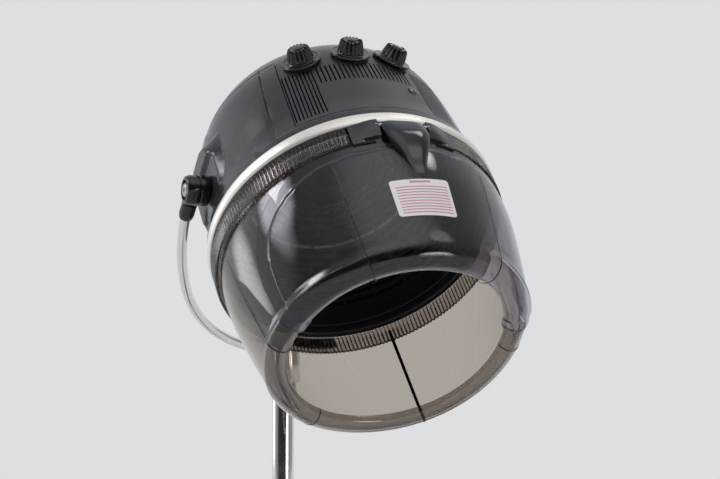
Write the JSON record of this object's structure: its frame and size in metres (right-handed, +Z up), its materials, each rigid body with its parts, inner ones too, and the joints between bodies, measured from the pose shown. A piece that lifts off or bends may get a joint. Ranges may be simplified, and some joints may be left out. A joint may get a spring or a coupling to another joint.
{
  "type": "hood hair dryer on a castor stand",
  "caption": "Salon hood dryer: smoked bowl with a hinged front visor and knob panel, tilting in a chrome yoke on a telescopic column and star castor base.",
  "frame": {"origin": "on the floor, under the middle of the object's bounding box", "axes": "+Z up along the column, -Y towards the person's side where the hood's visor faces, +X to the right seen from that side"},
  "size_m": [0.49, 0.7016, 1.3978],
  "materials": {
    "housing": "smooth moulded grey-black plastic",
    "smoked": "clear smoked plastic",
    "black": "polished black plastic",
    "matte_black": "matt black heat-proof plastic",
    "silver": "satin silver coating",
    "chrome": "bright chrome plate",
    "steel": "plain sheet or turned steel",
    "mica": "mica board",
    "white": "blank printed-stock sticker",
    "red": "clear red lens",
    "rubber": "soft tread",
    "black_iron": "black enamelled casting"
  },
  "bodies": {
    "base": {"base_hub": "black_iron", "base_leg_1": "black", "base_leg_2": "black", "base_leg_3": "black", "base_leg_4": "black", "base_leg_5": "black", "outer_column": "chrome", "column_bush": "matte_black", "height_collar": "black"},
    "clamp": {"clamp_knob": "black"},
    "column": {"inner_column": "chrome"},
    "yoke": {"yoke_tube": "chrome", "yoke_hub": "chrome", "left_yoke_socket": "black", "right_yoke_socket": "black", "left_pivot_barrel": "black", "right_pivot_barrel": "black", "left_pivot_bolt": "steel", "right_pivot_bolt": "steel"},
    "head": {"top_shell": "housing", "front_panel": "housing", "trim_ring": "silver", "ribbed_collar": "smoked", "rear_clip": "matte_black", "hinge_bracket": "housing", "visor_hinge_pin": "steel", "rear_bowl": "smoked", "inner_bowl": "matte_black", "fan_housing": "steel", "fan_motor": "steel", "heater_frame": "mica", "heater_coil": "steel", "thermostat": "steel", "timer_body": "matte_black", "temperature_switch": "matte_black", "speed_switch": "matte_black", "pilot_lens": "red", "cable_gland": "matte_black"},
    "visor_door": {"visor": "smoked", "visor_label": "white", "visor_arm": "black"},
    "fan": {"fan_impeller": "matte_black"},
    "timer": {"timer_knob": "black"},
    "temperature": {"temperature_knob": "black"},
    "speed": {"speed_knob": "black"},
    "castor_1": {"castor_fork_1": "black"},
    "wheel_1": {"castor_wheel_1": "rubber"},
    "castor_2": {"castor_fork_2": "black"},
    "wheel_2": {"castor_wheel_2": "rubber"},
    "castor_3": {"castor_fork_3": "black"},
    "wheel_3": {"castor_wheel_3": "rubber"},
    "castor_4": {"castor_fork_4": "black"},
    "wheel_4": {"castor_wheel_4": "rubber"},
    "castor_5": {"castor_fork_5": "black"},
    "wheel_5": {"castor_wheel_5": "rubber"}
  },
  "joints": [
    {"name": "column_height", "type": "slide", "parent": "base", "child": "column", "axis": [0, 0, 1], "range_m": [-0.2, 0.2]},
    {"name": "head_swivel", "type": "hinge", "parent": "column", "child": "yoke", "pos_m": [0, 0.11595, 1.03859], "axis": [0, 0, 1], "range_deg": [-170, 170]},
    {"name": "head_tilt", "type": "hinge", "parent": "yoke", "child": "head", "pos_m": [0, -0.07859, 1.22], "axis": [1, 0, 0], "range_deg": [-18, 34]},
    {"name": "visor_hinge", "type": "hinge", "parent": "head", "child": "visor_door", "pos_m": [0, -0.2556, 1.28044], "axis": [-1, 0, 0], "range_deg": [0, 60]},
    {"name": "fan_spin", "type": "hinge", "parent": "head", "child": "fan", "pos_m": [0, -0.02834, 1.27295], "axis": [0, 0.6884, 0.7254], "continuous": true},
    {"name": "timer_turn", "type": "hinge", "parent": "head", "child": "timer", "pos_m": [-0.06784, -0.12885, 1.36557], "axis": [0.4274, 0.4348, -0.7926], "range_deg": [0, 330]},
    {"name": "temperature_turn", "type": "hinge", "parent": "head", "child": "temperature", "pos_m": [-0.01303, -0.13999, 1.37614], "axis": [0.0821, 0.505, -0.8592], "range_deg": [0, 270]},
    {"name": "speed_turn", "type": "hinge", "parent": "head", "child": "speed", "pos_m": [0.03975, -0.13657, 1.3729], "axis": [-0.2504, 0.4835, -0.8388], "range_deg": [0, 270]},
    {"name": "clamp_turn", "type": "hinge", "parent": "base", "child": "clamp", "pos_m": [0, 0.11595, 0.655], "axis": [0, 1, 0], "range_deg": [0, 720]},
    {"name": "castor_1_swivel", "type": "hinge", "parent": "base", "child": "castor_1", "pos_m": [0, -0.12205, 0.07], "axis": [0, 0, 1], "continuous": true},
    {"name": "castor_1_roll", "type": "hinge", "parent": "castor_1", "child": "wheel_1", "pos_m": [-0.01597, -0.12786, 0.025], "axis": [-0.342, 0.9397, 0], "continuous": true},
    {"name": "castor_2_swivel", "type": "hinge", "parent": "base", "child": "castor_2", "pos_m": [0.22635, 0.0424, 0.07], "axis": [0, 0, 1], "continuous": true},
    {"name": "castor_2_roll", "type": "hinge", "parent": "castor_2", "child": "wheel_2", "pos_m": [0.21209, 0.05166, 0.025], "axis": [0.5446, 0.8387, 0], "continuous": true},
    {"name": "castor_3_swivel", "type": "hinge", "parent": "base", "child": "castor_3", "pos_m": [0.13989, 0.3085, 0.07], "axis": [0, 0, 1], "continuous": true},
    {"name": "castor_3_roll", "type": "hinge", "parent": "castor_3", "child": "wheel_3", "pos_m": [0.13871, 0.32545, 0.025], "axis": [0.9976, 0.0698, 0], "continuous": true},
    {"name": "castor_4_swivel", "type": "hinge", "parent": "base", "child": "castor_4", "pos_m": [-0.13989, 0.3085, 0.07], "axis": [0, 0, 1], "continuous": true},
    {"name": "castor_4_roll", "type": "hinge", "parent": "castor_4", "child": "wheel_4", "pos_m": [-0.1494, 0.2944, 0.025], "axis": [-0.829, 0.5592, 0], "continuous": true},
    {"name": "castor_5_swivel", "type": "hinge", "parent": "base", "child": "castor_5", "pos_m": [-0.22635, 0.0424, 0.07], "axis": [0, 0, 1], "continuous": true},
    {"name": "castor_5_roll", "type": "hinge", "parent": "castor_5", "child": "wheel_5", "pos_m": [-0.22138, 0.05866, 0.025], "axis": [0.9563, -0.2924, 0], "continuous": true}
  ]
}
